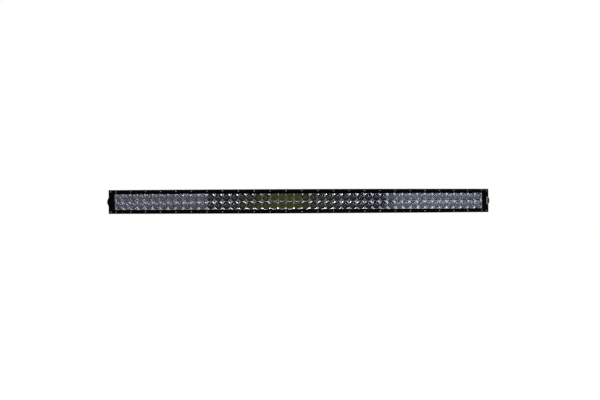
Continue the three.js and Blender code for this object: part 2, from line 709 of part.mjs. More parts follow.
function buildLightBar() {
  const bar = new THREE.Group();
  addMesh(bar, 'housing', housing(), blackAluminium);
  addMesh(bar, 'front_bezel', bezel(), blackPowderCoat);
  addMesh(bar, 'front_lens', lens(), clearPlastic);
  addMesh(bar, 'lens_gasket', lensGasket(), blackRubber);
  addLightModules(bar);
  addDrivers(bar);
  addEnd(bar, -1, 'left');
  addEnd(bar, 1, 'right');
  addCableGland(bar);
  addMesh(bar, 'breather_vent', breatherVent(), blackNylon);
  addMesh(bar, 'blank_badge', blankBadge(), satinSilver);
  return bar;
}

const bar = buildLightBar();
const box = new THREE.Box3().setFromObject(bar, true);
bar.position.set(0, -(box.min.y + box.max.y) / 2, HALF_HEIGHT);

const lightBar = new THREE.Group();
lightBar.add(bar);
lightBar.updateMatrixWorld(true);

export default lightBar;
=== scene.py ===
"""A gently curved double-row LED light bar on a plain pale floor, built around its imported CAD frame.

Sizes are in millimetres and become metres where points are placed. A place on the bar is s, the
distance along the front of the bezel, d, the depth behind it, and z, the height above mid-height.
"""

import math

import bmesh
import bpy
from mathutils import Matrix, Vector


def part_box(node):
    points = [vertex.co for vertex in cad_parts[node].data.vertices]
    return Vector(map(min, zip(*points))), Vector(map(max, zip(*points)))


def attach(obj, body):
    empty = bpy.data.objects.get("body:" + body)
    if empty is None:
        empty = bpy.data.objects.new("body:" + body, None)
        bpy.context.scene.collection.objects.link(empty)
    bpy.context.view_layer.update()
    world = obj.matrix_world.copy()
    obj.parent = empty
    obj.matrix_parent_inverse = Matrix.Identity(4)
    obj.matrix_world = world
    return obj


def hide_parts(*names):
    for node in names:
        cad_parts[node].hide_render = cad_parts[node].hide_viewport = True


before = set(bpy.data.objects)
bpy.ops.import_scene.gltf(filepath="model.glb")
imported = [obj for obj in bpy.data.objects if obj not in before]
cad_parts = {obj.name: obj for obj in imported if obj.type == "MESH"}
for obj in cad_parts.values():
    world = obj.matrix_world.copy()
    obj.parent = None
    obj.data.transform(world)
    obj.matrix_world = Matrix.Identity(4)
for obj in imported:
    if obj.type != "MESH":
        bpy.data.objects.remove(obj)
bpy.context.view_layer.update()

MM = 0.001

# ---------------------------------------------------------------- driving dimensions

# The whole bar: its front follows an arc, and the frame gives its front, middle and height.
FRONT_RADIUS = 2350.0
BAR_LENGTH = 1254.0
HALF_LENGTH = BAR_LENGTH / 2
SIDES = [(-1, "left"), (1, "right")]
BEZEL_LOW, BEZEL_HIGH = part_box("front_bezel")
FRONT_Y = BEZEL_LOW.y / MM
BAR_HEIGHT = (BEZEL_HIGH.z - BEZEL_LOW.z) / MM
HALF_HEIGHT = BAR_HEIGHT / 2
MID_Z = BEZEL_LOW.z / MM + HALF_HEIGHT
BAR_DEPTH = 70.0

# Rows of modules, each with four columns of two cups.
CELL_PITCH = 25.2
MODULE_COUNT = 12
MODULE_PITCH = 4 * CELL_PITCH
FLOOD_MODULES_PER_END = 3

# The bezel, its window and its screws.
BEZEL_THICKNESS = 10.0
BEZEL_EDGE_ROUND = 3.5
BEZEL_END_ROUND = 2.4
BEZEL_LIP = 3.9
SCREW_PITCH = 50.0
SCREW_INTERVALS = 24
SCREW_ROW = 32.5
SCREW_SEAT = 0.6
CORNER_SCREW_STATION = 618.5
WINDOW_HALF_LENGTH = 608.8
WINDOW_HALF_HEIGHT = 25.0

# The lens in its pocket, and the gasket behind it.
LENS_FRONT = 4.2
LENS_THICKNESS = 3.0
LENS_HALF_LENGTH = 612.2
LENS_HALF_HEIGHT = 28.6
LENS_BACK = LENS_FRONT + LENS_THICKNESS
LENS_PLAY = 0.45
GASKET_FRONT = 7.3
GASKET_OPENING = (609.5, 26.1)

# The housing and the fittings on its back.
HOUSING_FRONT = 10.3
HOUSING_HALF_LENGTH = 612.4
BACK_WALL = 51.0
GLAND_STATION = 0.0
VENT_STATION = 120.0
FITTING_SEAT = BACK_WALL + 0.25

# The end caps, and the brackets that turn on their bosses.
CAP_THICKNESS = 13.0
PIVOT_DEPTH = 23.0
BOSS_RADIUS = 12.5
BOSS_HEIGHT = 4.0
ARM_INNER = BOSS_HEIGHT + 0.3
ARM_THICKNESS = 4.0
ARM_OUTER = ARM_INNER + ARM_THICKNESS
ARM_HALF_WIDTH = 13.5
ARM_REACH = 68.0
FOOT_LENGTH = 34.0
BEND_RADIUS = 6.0
HOLE_RADIUS = 4.25
SLOT_HALF_TRAVEL = 3.75
SLOT_INSET = 15.0
BOLT_RADIUS = 3.85
WASHER_THICKNESS = 1.5
CAP_SCREWS = [(28.5, 33.5), (54.8, 25.0), (28.5, -33.5), (54.8, -25.0)]

# ---------------------------------------------------------------- camera

CAMERA_AT = Vector((-0.1247, -2.5828, 0.0330))
CAMERA_AIM = Vector((-0.00611, -0.08559, 0.04216))
CAMERA_ROLL = math.radians(-0.25)
SENSOR_WIDTH = 36.0
FOCAL_LENGTH = 47.64


def add_camera():
    data = bpy.data.cameras.new("camera")
    data.sensor_width = SENSOR_WIDTH
    data.lens = FOCAL_LENGTH
    data.clip_end = 100.0
    camera = bpy.data.objects.new("camera", data)
    bpy.context.scene.collection.objects.link(camera)
    look = (CAMERA_AIM - CAMERA_AT).to_track_quat("-Z", "Y").to_matrix().to_4x4()
    camera.matrix_world = Matrix.Translation(CAMERA_AT) @ look @ Matrix.Rotation(CAMERA_ROLL, 4, "Z")
    bpy.context.scene.camera = camera


add_camera()

# ---------------------------------------------------------------- places on the arc


def bend(s, d, z):
    """A point of the bar in metres, from its station, depth and height."""
    angle = s / FRONT_RADIUS
    radius = FRONT_RADIUS - d
    return Vector((
        radius * math.sin(angle) * MM,
        (FRONT_Y + FRONT_RADIUS - radius * math.cos(angle)) * MM,
        (MID_Z + z) * MM,
    ))


def arc_matrix(s, d=0.0, z=0.0):
    """A frame on the arc: x along the bar, y into its depth, z up, in metres."""
    return Matrix.Translation(bend(s, d, z)) @ Matrix.Rotation(s / FRONT_RADIUS, 4, "Z")


def spread(low, high, count):
    """count + 1 even steps from low to high."""
    return [low + (high - low) * i / count for i in range(count + 1)]


# ---------------------------------------------------------------- meshes


def new_object(name, mesh, materials):
    piece = bpy.data.objects.new(name, mesh)
    bpy.context.scene.collection.objects.link(piece)
    for material in materials:
        mesh.materials.append(material)
    return piece


def mesh_object(name, points, faces, materials, slots=None, smooth_angle=35.0):
    """An object from points in metres and faces, with outward normals and smooth shading."""
    work = bmesh.new()
    vertices = [work.verts.new(p) for p in points]
    for index, corners in enumerate(faces):
        face = work.faces.new([vertices[i] for i in corners])
        face.material_index = slots[index] if slots else 0
    bmesh.ops.remove_doubles(work, verts=work.verts, dist=1e-7)
    bmesh.ops.recalc_face_normals(work, faces=work.faces)
    mesh = bpy.data.meshes.new(name)
    work.to_mesh(mesh)
    work.free()
    piece = new_object(name, mesh, materials)
    smooth_by_angle(piece, smooth_angle)
    return piece


def smooth_by_angle(piece, degrees):
    """Smooth shading, with the edges sharper than the angle kept sharp."""
    work = bmesh.new()
    work.from_mesh(piece.data)
    limit = math.radians(degrees)
    for face in work.faces:
        face.smooth = True
    for edge in work.edges:
        edge.smooth = len(edge.link_faces) != 2 or edge.calc_face_angle(0.0) < limit
    work.to_mesh(piece.data)
    work.free()


def apply_modifiers(piece):
    bpy.context.view_layer.update()
    graph = bpy.context.evaluated_depsgraph_get()
    mesh = bpy.data.meshes.new_from_object(piece.evaluated_get(graph))
    piece.modifiers.clear()
    old = piece.data
    piece.data = mesh
    bpy.data.meshes.remove(old)


def boolean(piece, other, operation):
    """Joins, cuts or intersects piece with another object, which is used up."""
    modifier = piece.modifiers.new("boolean", "BOOLEAN")
    modifier.operation = operation
    modifier.solver = "EXACT"
    modifier.object = other
    apply_modifiers(piece)
    bpy.data.objects.remove(other)


def bevel(piece, width, segments=3, angle=32.0):
    modifier = piece.modifiers.new("bevel", "BEVEL")
    modifier.width = width * MM
    modifier.segments = segments
    modifier.limit_method = "ANGLE"
    modifier.angle_limit = math.radians(angle)
    modifier.harden_normals = False
    apply_modifiers(piece)
    smooth_by_angle(piece, 35.0)


def join(pieces, name):
    """One object from several, with their materials."""
    work = bmesh.new()
    materials = []
    for piece in pieces:
        mesh = piece.data.copy()
        mesh.transform(piece.matrix_world)
        shift = []
        for material in piece.data.materials:
            if material not in materials:
                materials.append(material)
            shift.append(materials.index(material))
        for polygon in mesh.polygons:
            polygon.material_index = shift[polygon.material_index] if shift else 0
        work.from_mesh(mesh)
        bpy.data.meshes.remove(mesh)
        bpy.data.objects.remove(piece)
    mesh = bpy.data.meshes.new(name)
    work.to_mesh(mesh)
    work.free()
    return new_object(name, mesh, materials)


def loft(name, rings, materials, closed=False, smooth_angle=35.0):
    """Skins rings of points; closed joins the last ring to the first, and otherwise the ends are capped."""
    count = len(rings[0])
    points = [p for ring in rings for p in ring]
    faces = []
    pairs = len(rings) if closed else len(rings) - 1
    for r in range(pairs):
        a, b = r * count, (r + 1) % len(rings) * count
        for i in range(count):
            j = (i + 1) % count
            faces.append((a + i, a + j, b + j, b + i))
    if not closed:
        faces.append(tuple(range(count)))
        faces.append(tuple(len(points) - count + i for i in range(count)))
    return mesh_object(name, points, faces, materials, smooth_angle=smooth_angle)


def fillet(outline, radius, steps=3, limit=0.45):
    """Rounds each corner of a closed outline, as far as its shorter side allows."""
    rounded = []
    count = len(outline)
    for i in range(count):
        before, corner, after = (Vector(outline[(i + k) % count]) for k in (-1, 0, 1))
        inward, outward = before - corner, after - corner
        reach = min(radius, inward.length * limit, outward.length * limit)
        turn = inward.angle(outward)
        if turn > math.radians(172):
            rounded.append(tuple(corner))
            continue
        first = corner + inward.normalized() * reach
        last = corner + outward.normalized() * reach
        for k in range(steps + 1):
            t = k / steps
            point = first * (1 - t) ** 2 + corner * 2 * t * (1 - t) + last * t ** 2
            rounded.append(tuple(point))
    return rounded


def mirrored(half):
    return half + [(d, -z) for d, z in reversed(half)]


def bent_extrusion(name, outline, stations, materials, smooth_angle=35.0):
    rings = [[bend(s, d, z) for d, z in outline] for s in stations]
    return loft(name, rings, materials, smooth_angle=smooth_angle)


def turned(name, profile, materials, sides=48, smooth_angle=35.0):
    """A piece turned about the local y axis, from a profile of radius and distance in millimetres."""
    points = []
    rings = []
    for radius, y in profile:
        if radius == 0:
            rings.append([len(points)] * sides)
            points.append(Vector((0, y * MM, 0)))
            continue
        ring = []
        for k in range(sides):
            angle = 2 * math.pi * k / sides
            ring.append(len(points))
            points.append(Vector((radius * math.cos(angle) * MM, y * MM, radius * math.sin(angle) * MM)))
        rings.append(ring)
    faces = []
    for a, b in zip(rings, rings[1:]):
        for k in range(sides):
            j = (k + 1) % sides
            corners = list(dict.fromkeys((a[k], a[j], b[j], b[k])))
            if len(corners) > 2:
                faces.append(corners)
    return mesh_object(name, points, faces, materials, smooth_angle=smooth_angle)


def prism(name, outline, low, high, materials):
    """An outline of local x and z, extruded along local y, in millimetres."""
    rings = [[Vector((x * MM, y * MM, z * MM)) for x, z in outline] for y in (low, high)]
    return loft(name, rings, materials)


def circle(radius, sides, turn=0.0):
    angles = [2 * math.pi * (k + turn) / sides for k in range(sides)]
    return [(radius * math.cos(a), radius * math.sin(a)) for a in angles]


def place(piece, matrix):
    """Moves a piece by writing its place into its mesh."""
    piece.data.transform(matrix)
    piece.data.update()
    return piece


def hand_over(piece, body, slot, *nodes):
    """Gives a finished piece its body and hides the CAD nodes that it stands for; the slot is not used."""
    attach(piece, body)
    if nodes:
        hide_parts(*nodes)
    return piece


# ---------------------------------------------------------------- materials


class Nodes:
    """A small helper around a material's node tree."""

    def __init__(self, name):
        self.material = bpy.data.materials.new(name)
        self.material.use_nodes = True
        self.tree = self.material.node_tree
        self.shader = self.tree.nodes["Principled BSDF"]
        self.output = self.tree.nodes["Material Output"]
        self.coordinates = self.add("ShaderNodeTexCoord")

    def add(self, kind, **settings):
        node = self.tree.nodes.new(kind)
        for key, value in settings.items():
            setattr(node, key, value)
        return node

    def link(self, source, target):
        self.tree.links.new(source, target)

    def stretched(self, scale):
        mapping = self.add("ShaderNodeMapping")
        mapping.inputs["Scale"].default_value = scale
        self.link(self.coordinates.outputs["Object"], mapping.inputs["Vector"])
        return mapping.outputs["Vector"]

    def noise(self, scale, detail=3.0, stretch=(1, 1, 1), roughness=0.5):
        noise = self.add("ShaderNodeTexNoise")
        noise.inputs["Scale"].default_value = scale
        noise.inputs["Detail"].default_value = detail
        noise.inputs["Roughness"].default_value = roughness
        self.link(self.stretched(stretch), noise.inputs["Vector"])
        return noise.outputs["Fac"]

    def ramp(self, source, low, high, start=0.3, end=0.7):
        ramp = self.add("ShaderNodeMapRange")
        ramp.inputs["From Min"].default_value = start
        ramp.inputs["From Max"].default_value = end
        ramp.inputs["To Min"].default_value = low
        ramp.inputs["To Max"].default_value = high
        self.link(source, ramp.inputs["Value"])
        return ramp.outputs["Result"]

    def colours(self, source, first, second, start=0.35, end=0.65):
        ramp = self.add("ShaderNodeValToRGB")
        ramp.color_ramp.elements[0].position = start
        ramp.color_ramp.elements[0].color = (*first, 1)
        ramp.color_ramp.elements[1].position = end
        ramp.color_ramp.elements[1].color = (*second, 1)
        self.link(source, ramp.inputs["Fac"])
        return ramp.outputs["Color"]

    def tint(self, source, first, second, start=0.35, end=0.65):
        self.link(self.colours(source, first, second, start, end), self.shader.inputs["Base Color"])

    def rough(self, source, low, high):
        self.link(self.ramp(source, low, high), self.shader.inputs["Roughness"])

    def bump(self, source, height, strength=1.0, after=None):
        """A bump of a height in millimetres."""
        bump = self.add("ShaderNodeBump")
        bump.inputs["Strength"].default_value = strength
        bump.inputs["Distance"].default_value = height * MM
        self.link(source, bump.inputs["Height"])
        if after:
            self.link(after, bump.inputs["Normal"])
        self.link(bump.outputs["Normal"], self.shader.inputs["Normal"])
        return bump.outputs["Normal"]

    def set(self, **values):
        for key, value in values.items():
            self.shader.inputs[key.replace("_", " ")].default_value = value


def powder_coat():
    """Fine satin black powder coat with its orange peel."""
    n = Nodes("powder_coat")
    mottle = n.noise(60, 4)
    n.tint(mottle, (0.0015, 0.0015, 0.0018), (0.0028, 0.0028, 0.0032))
    n.rough(n.noise(180, 3), 0.42, 0.56)
    peel = n.bump(n.noise(900, 2), 0.02, 0.35)
    n.bump(n.noise(4200, 2), 0.006, 0.4, after=peel)
    n.set(IOR=1.2)
    return n.material


def anodised():
    """Black anodised extrusion, with faint die lines along the bar."""
    n = Nodes("black_anodised")
    lines = n.noise(900, 3, stretch=(0.02, 1, 1))
    n.tint(lines, (0.035, 0.035, 0.038), (0.060, 0.060, 0.064))
    n.rough(lines, 0.34, 0.52)
    drawn = n.bump(n.noise(1400, 2, stretch=(0.02, 1, 1)), 0.01, 0.5)
    n.bump(n.noise(3000, 2), 0.003, 0.5, after=drawn)
    n.set(Metallic=0.35)
    return n.material


def bracket_paint():
    """Satin black paint over bent steel, a little rubbed."""
    n = Nodes("bracket_paint")
    rub = n.noise(140, 6, roughness=0.7)
    n.tint(rub, (0.009, 0.009, 0.010), (0.035, 0.035, 0.036), 0.5, 0.8)
    n.rough(n.noise(300, 3), 0.3, 0.48)
    n.bump(n.noise(1300, 3), 0.012, 0.4)
    return n.material


def stainless():
    """Bright screw steel with a fine brushing and slight tarnish."""
    n = Nodes("stainless_steel")
    tone = n.noise(700, 3)
    n.tint(tone, (0.46, 0.46, 0.47), (0.66, 0.66, 0.66))
    n.rough(n.noise(2500, 2, stretch=(1, 1, 0.2)), 0.2, 0.4)
    n.bump(n.noise(3500, 2, stretch=(1, 1, 0.15)), 0.004, 0.4)
    n.set(Metallic=1.0)
    return n.material


def chrome(name, low, high, dimple, dark, light):
    """Vacuum metallised plastic: a mirror with a faint haze and moulding ripple; its colour runs from dark
    to light, which the cup copies set darker and bluer as painted shade and painted bluish reflection.
    """
    n = Nodes(name)
    haze = n.noise(220, 3)
    n.tint(haze, dark, light)
    n.rough(n.noise(400, 2), low, high)
    n.bump(n.noise(500, 2), dimple, 0.3)
    n.set(Metallic=1.0)
    return n.material


def lens_plastic():
    """Clear polycarbonate: see-through, with the faint reflection of a polished surface."""
    n = Nodes("clear_lens")
    n.set(Metallic=1.0)
    n.shader.inputs["Base Color"].default_value = (0.95, 0.97, 1.0, 1)
    n.rough(n.noise(90, 3), 0.015, 0.05)
    clear = n.add("ShaderNodeBsdfTransparent")
    mix = n.add("ShaderNodeMixShader")
    mix.inputs["Fac"].default_value = 0.05
    n.link(clear.outputs["BSDF"], mix.inputs[1])
    n.link(n.shader.outputs["BSDF"], mix.inputs[2])
    n.link(mix.outputs["Shader"], n.output.inputs["Surface"])
    return n.material


def rubber():
    """Matt black silicone rubber."""
    n = Nodes("gasket_rubber")
    n.tint(n.noise(300, 3), (0.012, 0.012, 0.012), (0.03, 0.03, 0.03))
    n.rough(n.noise(500, 3), 0.7, 0.9)
    n.bump(n.noise(2500, 3), 0.01, 0.5)
    return n.material


def nylon():
    """Moulded black nylon with a spark-eroded grain."""
    n = Nodes("black_nylon")
    n.tint(n.noise(250, 3), (0.014, 0.014, 0.015), (0.028, 0.028, 0.03))
    n.rough(n.noise(900, 3), 0.45, 0.65)
    n.bump(n.noise(3800, 2), 0.012, 0.5)
    return n.material


def solder_mask():
    """White board with faint tracks under the mask."""
    n = Nodes("white_solder_mask")
    wave = n.add("ShaderNodeTexWave", wave_type="BANDS", bands_direction="Z")
    wave.inputs["Scale"].default_value = 120
    wave.inputs["Distortion"].default_value = 1.5
    n.link(n.coordinates.outputs["Object"], wave.inputs["Vector"])
    n.tint(wave.outputs["Fac"], (0.66, 0.67, 0.63), (0.78, 0.78, 0.75))
    n.rough(n.noise(800, 2), 0.35, 0.5)
    n.bump(wave.outputs["Fac"], 0.03, 0.3)
    return n.material


def phosphor():
    """The emitter's yellow phosphor under clear silicone, with a faint painted glow."""
    n = Nodes("led_phosphor")
    grain = n.noise(4000, 3)
    n.tint(grain, (0.54, 0.51, 0.008), (0.72, 0.68, 0.018))
    n.rough(grain, 0.25, 0.4)
    n.bump(grain, 0.01, 0.4)
    n.set(Coat_Weight=0.6, Coat_Roughness=0.05)
    # A faint painted glow: the emitter is off, and this weak emission stands in for light on the phosphor.
    n.set(Emission_Color=(0.8, 0.76, 0.03, 1), Emission_Strength=0.03)
    return n.material


def emitter_package():
    """The emitter's ceramic base, painted dark as painted shade deep in the cup, with the phosphor's warm
    glow painted on it.
    """
    n = Nodes("emitter_package")
    # Dark warm grey: painted shade deep in the cup and the phosphor's painted glow.
    n.tint(n.noise(2000, 2), (0.12, 0.12, 0.09), (0.2, 0.2, 0.15))
    n.rough(n.noise(2500, 2), 0.35, 0.5)
    return n.material


def badge_metal():
    """Plain satin aluminium, brushed upwards."""
    n = Nodes("badge_silver")
    grain = n.noise(2200, 3, stretch=(1, 1, 0.04))
    n.tint(grain, (0.52, 0.52, 0.54), (0.74, 0.74, 0.76))
    n.rough(grain, 0.3, 0.5)
    n.bump(grain, 0.01, 0.4)
    n.set(Metallic=0.7)
    return n.material


def driver_plastic():
    """Dark potting resin."""
    n = Nodes("driver_case")
    n.tint(n.noise(200, 3), (0.02, 0.02, 0.024), (0.04, 0.04, 0.046))
    n.rough(n.noise(700, 3), 0.5, 0.7)
    n.bump(n.noise(1800, 3), 0.02, 0.5)
    return n.material


POWDER = powder_coat()
ANODISED = anodised()
BRACKET_PAINT = bracket_paint()
STEEL = stainless()
# Spot cups: the same chrome painted darker and bluer than the lands, as painted shade and painted bluish
# reflection in the deep cups.
SPOT_CHROME_PAINTED_SHADE = chrome("spot_chrome", 0.03, 0.08, 0.004, (0.34, 0.37, 0.47), (0.48, 0.51, 0.61))
# Flood cups: the same chrome painted dimmer and bluer than the lands, as painted shade and painted bluish
# reflection.
FLOOD_CHROME_PAINTED_SHADE = chrome("flood_chrome", 0.06, 0.12, 0.006, (0.61, 0.64, 0.76), (0.73, 0.76, 0.88))
LAND_CHROME = chrome("land_chrome", 0.1, 0.18, 0.02, (0.86, 0.87, 0.89), (0.94, 0.95, 0.96))
LENS = lens_plastic()
RUBBER = rubber()
NYLON = nylon()
BOARD = solder_mask()
PHOSPHOR = phosphor()
PACKAGE = emitter_package()
BADGE = badge_metal()
DRIVER = driver_plastic()

# ---------------------------------------------------------------- bezel


def frame_loop(half_length, half_height, corner, along=120, up=6, arc=5):
    """Stations and heights round a rounded rectangle, always with the same number of points."""
    a, b = half_length - corner, half_height - corner
    centres = [(a, b), (-a, b), (-a, -b), (a, -b)]
    points = []
    for quarter, (cx, cz) in enumerate(centres):
        for k in range(arc + 1):
            angle = math.pi / 2 * (quarter + k / arc)
            points.append((cx + corner * math.cos(angle), cz + corner * math.sin(angle)))
        following = math.pi / 2 * (quarter + 1)
        nx, nz = centres[(quarter + 1) % 4]
        target = (nx + corner * math.cos(following), nz + corner * math.sin(following))
        start = points[-1]
        steps = along if quarter % 2 == 0 else up
        for k in range(1, steps):
            t = k / steps
            points.append((start[0] + (target[0] - start[0]) * t, start[1] + (target[1] - start[1]) * t))
    return points


def bezel_profile():
    """Half length, half height, depth and corner radius, from the back edge to the lens pocket."""
    profile = [(HALF_LENGTH, HALF_HEIGHT, BEZEL_THICKNESS, 1.6)]
    for k in range(7):
        angle = math.pi / 2 * k / 6
        fall = 1 - math.cos(angle)
        depth = BEZEL_EDGE_ROUND * (1 - math.sin(angle))
        half_length = HALF_LENGTH - BEZEL_END_ROUND * fall
        profile.append((half_length, HALF_HEIGHT - BEZEL_EDGE_ROUND * fall, depth, 1.6 + 0.4 * fall))
    window_bevel = [
        (4.75, 3.4, 0.0, 3.4), (4.4, 3.15, 0.05, 3.3), (4.1, 2.85, 0.25, 3.2), (0.45, 0.35, 2.95, 2.3),
        (0.12, 0.12, 3.15, 2.0), (0.0, 0.0, 3.4, 1.9), (0.0, 0.0, BEZEL_LIP, 1.9),
    ]
    profile += [(WINDOW_HALF_LENGTH + x, WINDOW_HALF_HEIGHT + z, d, r) for x, z, d, r in window_bevel]
    pocket = (LENS_HALF_LENGTH + LENS_PLAY, LENS_HALF_HEIGHT + LENS_PLAY)
    profile += [(*pocket, BEZEL_LIP, 2.5), (*pocket, BEZEL_THICKNESS, 2.5)]
    return profile


def screw_stations():
    """The stations of one row of bezel screws, with a corner screw at each end."""
    half = SCREW_INTERVALS // 2
    row = [i * SCREW_PITCH for i in range(-half, half + 1)]
    return [-CORNER_SCREW_STATION, *row, CORNER_SCREW_STATION]


def build_bezel():
    rings = []
    for half_length, half_height, depth, corner in bezel_profile():
        rings.append([bend(s, depth, z) for s, z in frame_loop(half_length, half_height, corner)])
    bezel = loft("bezel", rings, [POWDER], closed=True)
    drill = [(0, -2), (2.95, -2), (2.95, 0.35), (2.7, SCREW_SEAT), (1.6, SCREW_SEAT), (1.6, 11), (0, 11)]
    drills = []
    for s in screw_stations():
        for row in (-1, 1):
            drills.append(place(turned("drill", drill, [POWDER], 20), arc_matrix(s, 0, row * SCREW_ROW)))
    boolean(bezel, join(drills, "drills"), "DIFFERENCE")
    smooth_by_angle(bezel, 30.0)
    hand_over(bezel, "bar", "black_powder_coat", "front_bezel")


# ---------------------------------------------------------------- screws and bolts


def button_screw(name, head, height, socket, shank, length, sides=36):
    """A domed head with a hexagon socket; the head's seat is at zero and its top is at -height."""
    top = head * 0.6
    profile = [(0, -height), (top * 0.999, -height)]
    for k in range(1, 7):
        angle = math.pi / 2 * k / 6
        rise = height * 0.25 + height * 0.75 * math.cos(angle)
        profile.append((top + (head - top) * math.sin(angle), -rise))
    profile += [(head, -0.12), (head - 0.12, 0), (shank, 0)]
    profile += [(shank, length - 0.4), (shank - 0.4, length), (0, length)]
    screw = turned(name, profile, [STEEL], sides)
    boolean(screw, prism("hexagon", circle(socket, 6), -height - 1, -height * 0.35, [STEEL]), "DIFFERENCE")
    smooth_by_angle(screw, 30.0)
    return screw


def copies(template, name, matrices):
    """One piece made of copies of a template, which is used up."""
    pieces = []
    for matrix in matrices:
        piece = new_object(name, template.data.copy(), [])
        pieces.append(place(piece, matrix))
    bpy.data.objects.remove(template)
    return join(pieces, name)


def bezel_screw(name, length):
    return button_screw(name, 2.5, 1.9, 1.05, 1.25, length)


def spin(degrees):
    """A turn about a screw's own axis, so that the sockets don't all line up."""
    return Matrix.Rotation(math.radians(degrees), 4, "Y")


def build_bezel_screws():
    """A row of screws as one piece above and below, and the four corner screws of the CAD one by one."""
    stations = screw_stations()[1:-1]
    for row, level in ((1, "top"), (-1, "bottom")):
        z = row * SCREW_ROW
        seats = [arc_matrix(s, SCREW_SEAT, z) for s in stations]
        matrices = [seat @ spin((i * 47 + row * 13) % 60) for i, seat in enumerate(seats)]
        screws = copies(bezel_screw("screw", 12), f"bezel_screws_{level}", matrices)
        hand_over(screws, "bar", "stainless_steel")
        for side, word in SIDES:
            screw = bezel_screw(f"corner_screw_{word}_{level}", 15)
            seat = arc_matrix(side * CORNER_SCREW_STATION, SCREW_SEAT, z)
            place(screw, seat @ spin(20 + 25 * side + 10 * row))
            hand_over(screw, "bar", "stainless_steel", f"bezel_screw_{word}_{level}")


def outward(side):
    """Turns a piece whose head looks along -y so that it looks out of the bar's end."""
    return Matrix.Rotation(side * math.pi / 2, 4, "Z")


def build_cap_screws(side, word):
    """Four screws hold each end cap."""
    for i, (d, z) in enumerate(CAP_SCREWS):
        screw = button_screw(f"cap_screw_{word}_{i + 1}", 3.4, 2.2, 1.45, 1.7, 22)
        place(screw, arc_matrix(side * HALF_LENGTH, d, z) @ outward(side) @ spin(17 * i + 7))
        hand_over(screw, "bar", "stainless_steel", f"end_cap_screw_{word}_{i + 1}")


def build_pivot(side, word):
    """The bolt that the bracket turns on, and the spring washer under its head."""
    base = arc_matrix(side * HALF_LENGTH, PIVOT_DEPTH, 0) @ outward(side)
    seat = ARM_OUTER + 0.05
    top = seat + WASHER_THICKNESS
    rim = [(6.7, -seat), (6.85, -seat - 0.15), (6.85, -top + 0.15), (6.7, -top)]
    section = [(HOLE_RADIUS, -seat), *rim, (HOLE_RADIUS, -top), (HOLE_RADIUS, -seat)]
    washer = turned("washer", section, [STEEL], 64)
    split = prism("split", [(0, -0.35), (9, -0.35), (9, 0.35), (0, 0.35)], -top - 1, -seat + 1, [STEEL])
    boolean(washer, place(split, spin(35)), "DIFFERENCE")
    place(washer, base)
    washer.name = f"pivot_washer_{word}"
    hand_over(washer, "bar", "stainless_steel", f"spring_washer_{word}")
    head = top + 0.05
    bolt = button_screw(f"pivot_screw_{word}", 6.5, 3.5, 2.6, BOLT_RADIUS, head + 4.0)
    place(bolt, base @ Matrix.Translation((0, -head * MM, 0)))
    hand_over(bolt, "bar", "stainless_steel", f"pivot_bolt_{word}")


# ---------------------------------------------------------------- lens, gaskets and badge


def build_lens():
    outline = fillet(mirrored([(LENS_BACK, LENS_HALF_HEIGHT), (LENS_FRONT, LENS_HALF_HEIGHT)]), 0.4)
    stations = spread(-LENS_HALF_LENGTH, LENS_HALF_LENGTH, 120)
    lens = bent_extrusion("lens", outline, stations, [LENS])
    hand_over(lens, "bar", "clear_lens", "front_lens")


def build_lens_gasket():
    """A flat silicone ring between the lens and the housing."""
    outside = frame_loop(LENS_HALF_LENGTH, LENS_HALF_HEIGHT, 2.0)
    inside = frame_loop(*GASKET_OPENING, 2.0)
    front, back = GASKET_FRONT, BEZEL_THICKNESS
    edges = [(outside, front), (outside, back), (inside, back), (inside, front)]
    rings = [[bend(s, d, z) for s, z in outline] for outline, d in edges]
    gasket = loft("lens_seal", rings, [RUBBER], closed=True)
    hand_over(gasket, "bar", "gasket_rubber", "lens_gasket")


def build_badge():
    """A blank plate on the bezel's right-hand end."""
    outline = [(-3.2, -13), (3.2, -13), (3.2, 13), (-3.2, 13)]
    plate = prism("end_badge", fillet(outline, 1.0, 4), -0.7, 0.0, [BADGE])
    bevel(plate, 0.15, 2, 50)
    place(plate, arc_matrix(HALF_LENGTH - 5.8, 0, 0))
    hand_over(plate, "bar", "badge_silver", "blank_badge")


# ---------------------------------------------------------------- light cells

# Cups are round bowls in square cells, and boards carry one emitter for each cup.
CUP_SIDES = 64
CUP_DEPTH = 17.2
THROAT_RADIUS = 2.75
MOUTH_RADIUS = 11.7
RIM_RADIUS = 12.0
CELL_X = 12.55
CELL_HALF_INNER = 12.55
CELL_HALF_OUTER = 12.15
CELL_HALF_MIDDLE = 12.6
CELL_HALF_EDGE = 12.9
END_FLANGE = 5.0
MODULE_FRONT = 8.9
MODULE_DEPTH = 17.5
BOARD_FRONT = 26.8
BOARD_HALF_LENGTH = 49.3
BOARD_HALF_HEIGHT = 25.0
BOARD_THICKNESS = 1.6
PACKAGE_HALF_WIDTH = 1.75
PACKAGE_HEIGHT = 0.75
DOME_RADIUS = 1.0
DOME_HEIGHT = 1.15
DOME_SIDES = 24
DOME_RINGS = 6
LAND_DISH = 0.14
LAND_STEPS = 5
SQUARENESS = {"spot": 2.0, "flood": 2.5}


def spot_wall():
    """Radius and depth of a parabola from the throat to the mouth."""
    slope = (MOUTH_RADIUS ** 2 - THROAT_RADIUS ** 2) / CUP_DEPTH
    wall = []
    for radius in spread(THROAT_RADIUS, MOUTH_RADIUS, 18):
        wall.append((radius, MODULE_DEPTH - (radius ** 2 - THROAT_RADIUS ** 2) / slope))
    return wall


def flood_wall(bands=3, fine=6, bulge=0.7):
    """A wider bowl made of rounded steps, which fan the light out."""
    wall = []
    steps = bands * fine
    for j in range(steps + 1):
        t = j / steps
        radius = THROAT_RADIUS + (MOUTH_RADIUS - THROAT_RADIUS) * t ** 0.72
        depth = MODULE_DEPTH - CUP_DEPTH * t ** 1.2
        swell = bulge * abs(math.sin(math.pi * t * bands))
        wall.append((radius - swell, depth - swell * 0.5))
    return wall


def squareness(direction, power):
    """How much farther than a circle a rounded square reaches in a direction."""
    c, s = direction
    return (abs(c) ** power + abs(s) ** power) ** (-1 / power)


